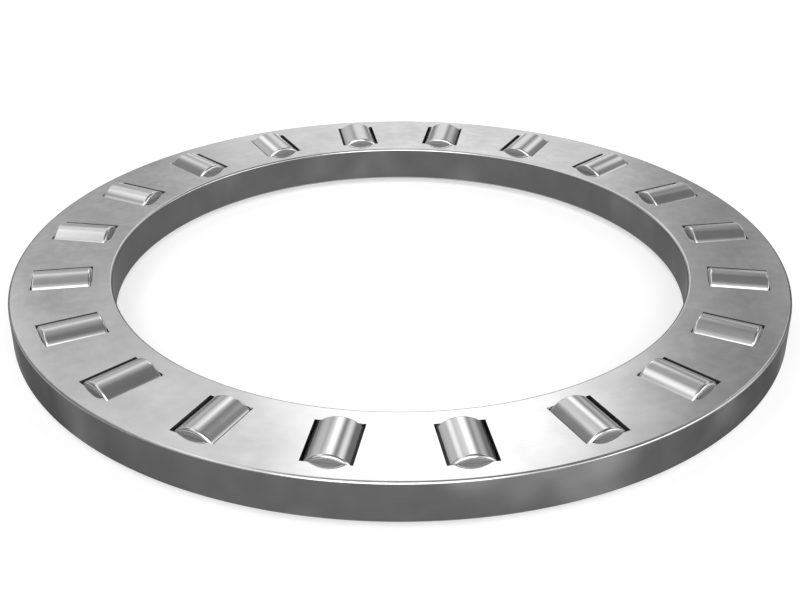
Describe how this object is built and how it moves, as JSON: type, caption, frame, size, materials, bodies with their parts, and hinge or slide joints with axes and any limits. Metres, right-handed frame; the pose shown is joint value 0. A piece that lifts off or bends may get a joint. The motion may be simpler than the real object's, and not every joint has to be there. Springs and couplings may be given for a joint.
{
  "type": "thrust roller bearing",
  "caption": "Flat steel cage ring with radial pockets, each holding a loose cylindrical roller that stands out of both faces and rolls between two flat thrust washers.",
  "frame": {"origin": "on the bearing axis, in the plane that the undersides of the rollers run on", "axes": "+Z along the bearing axis, from the lower washer to the upper one; +X and +Y each pass between two pockets"},
  "size_m": [0.1344, 0.1344, 0.009],
  "materials": {
    "cage_steel": "bare steel, finely machined and lightly polished",
    "roller_steel": "bare hardened steel, ground and polished"
  },
  "bodies": {
    "cage": {"cage": "cage_steel"},
    "roller_01": {"roller_01": "roller_steel"},
    "roller_02": {"roller_02": "roller_steel"},
    "roller_03": {"roller_03": "roller_steel"},
    "roller_04": {"roller_04": "roller_steel"},
    "roller_05": {"roller_05": "roller_steel"},
    "roller_06": {"roller_06": "roller_steel"},
    "roller_07": {"roller_07": "roller_steel"},
    "roller_08": {"roller_08": "roller_steel"},
    "roller_09": {"roller_09": "roller_steel"},
    "roller_10": {"roller_10": "roller_steel"},
    "roller_11": {"roller_11": "roller_steel"},
    "roller_12": {"roller_12": "roller_steel"},
    "roller_13": {"roller_13": "roller_steel"},
    "roller_14": {"roller_14": "roller_steel"},
    "roller_15": {"roller_15": "roller_steel"},
    "roller_16": {"roller_16": "roller_steel"},
    "roller_17": {"roller_17": "roller_steel"},
    "roller_18": {"roller_18": "roller_steel"},
    "roller_19": {"roller_19": "roller_steel"},
    "roller_20": {"roller_20": "roller_steel"}
  },
  "joints": [
    {"name": "roller_01_spin", "type": "hinge", "parent": "cage", "child": "roller_01", "pos_m": [0.05783, 0.00916, 0.0045], "axis": [0.9877, 0.1564, 0], "continuous": true},
    {"name": "roller_02_spin", "type": "hinge", "parent": "cage", "child": "roller_02", "pos_m": [0.05217, 0.02658, 0.0045], "axis": [0.891, 0.454, 0], "continuous": true},
    {"name": "roller_03_spin", "type": "hinge", "parent": "cage", "child": "roller_03", "pos_m": [0.0414, 0.0414, 0.0045], "axis": [0.7071, 0.7071, 0], "continuous": true},
    {"name": "roller_04_spin", "type": "hinge", "parent": "cage", "child": "roller_04", "pos_m": [0.02658, 0.05217, 0.0045], "axis": [0.454, 0.891, 0], "continuous": true},
    {"name": "roller_05_spin", "type": "hinge", "parent": "cage", "child": "roller_05", "pos_m": [0.00916, 0.05783, 0.0045], "axis": [0.1564, 0.9877, 0], "continuous": true},
    {"name": "roller_06_spin", "type": "hinge", "parent": "cage", "child": "roller_06", "pos_m": [-0.00916, 0.05783, 0.0045], "axis": [-0.1564, 0.9877, 0], "continuous": true},
    {"name": "roller_07_spin", "type": "hinge", "parent": "cage", "child": "roller_07", "pos_m": [-0.02658, 0.05217, 0.0045], "axis": [-0.454, 0.891, 0], "continuous": true},
    {"name": "roller_08_spin", "type": "hinge", "parent": "cage", "child": "roller_08", "pos_m": [-0.0414, 0.0414, 0.0045], "axis": [-0.7071, 0.7071, 0], "continuous": true},
    {"name": "roller_09_spin", "type": "hinge", "parent": "cage", "child": "roller_09", "pos_m": [-0.05217, 0.02658, 0.0045], "axis": [-0.891, 0.454, 0], "continuous": true},
    {"name": "roller_10_spin", "type": "hinge", "parent": "cage", "child": "roller_10", "pos_m": [-0.05783, 0.00916, 0.0045], "axis": [-0.9877, 0.1564, 0], "continuous": true},
    {"name": "roller_11_spin", "type": "hinge", "parent": "cage", "child": "roller_11", "pos_m": [-0.05783, -0.00916, 0.0045], "axis": [-0.9877, -0.1564, 0], "continuous": true},
    {"name": "roller_12_spin", "type": "hinge", "parent": "cage", "child": "roller_12", "pos_m": [-0.05217, -0.02658, 0.0045], "axis": [-0.891, -0.454, 0], "continuous": true},
    {"name": "roller_13_spin", "type": "hinge", "parent": "cage", "child": "roller_13", "pos_m": [-0.0414, -0.0414, 0.0045], "axis": [-0.7071, -0.7071, 0], "continuous": true},
    {"name": "roller_14_spin", "type": "hinge", "parent": "cage", "child": "roller_14", "pos_m": [-0.02658, -0.05217, 0.0045], "axis": [-0.454, -0.891, 0], "continuous": true},
    {"name": "roller_15_spin", "type": "hinge", "parent": "cage", "child": "roller_15", "pos_m": [-0.00916, -0.05783, 0.0045], "axis": [-0.1564, -0.9877, 0], "continuous": true},
    {"name": "roller_16_spin", "type": "hinge", "parent": "cage", "child": "roller_16", "pos_m": [0.00916, -0.05783, 0.0045], "axis": [0.1564, -0.9877, 0], "continuous": true},
    {"name": "roller_17_spin", "type": "hinge", "parent": "cage", "child": "roller_17", "pos_m": [0.02658, -0.05217, 0.0045], "axis": [0.454, -0.891, 0], "continuous": true},
    {"name": "roller_18_spin", "type": "hinge", "parent": "cage", "child": "roller_18", "pos_m": [0.0414, -0.0414, 0.0045], "axis": [0.7071, -0.7071, 0], "continuous": true},
    {"name": "roller_19_spin", "type": "hinge", "parent": "cage", "child": "roller_19", "pos_m": [0.05217, -0.02658, 0.0045], "axis": [0.891, -0.454, 0], "continuous": true},
    {"name": "roller_20_spin", "type": "hinge", "parent": "cage", "child": "roller_20", "pos_m": [0.05783, -0.00916, 0.0045], "axis": [0.9877, -0.1564, 0], "continuous": true}
  ]
}
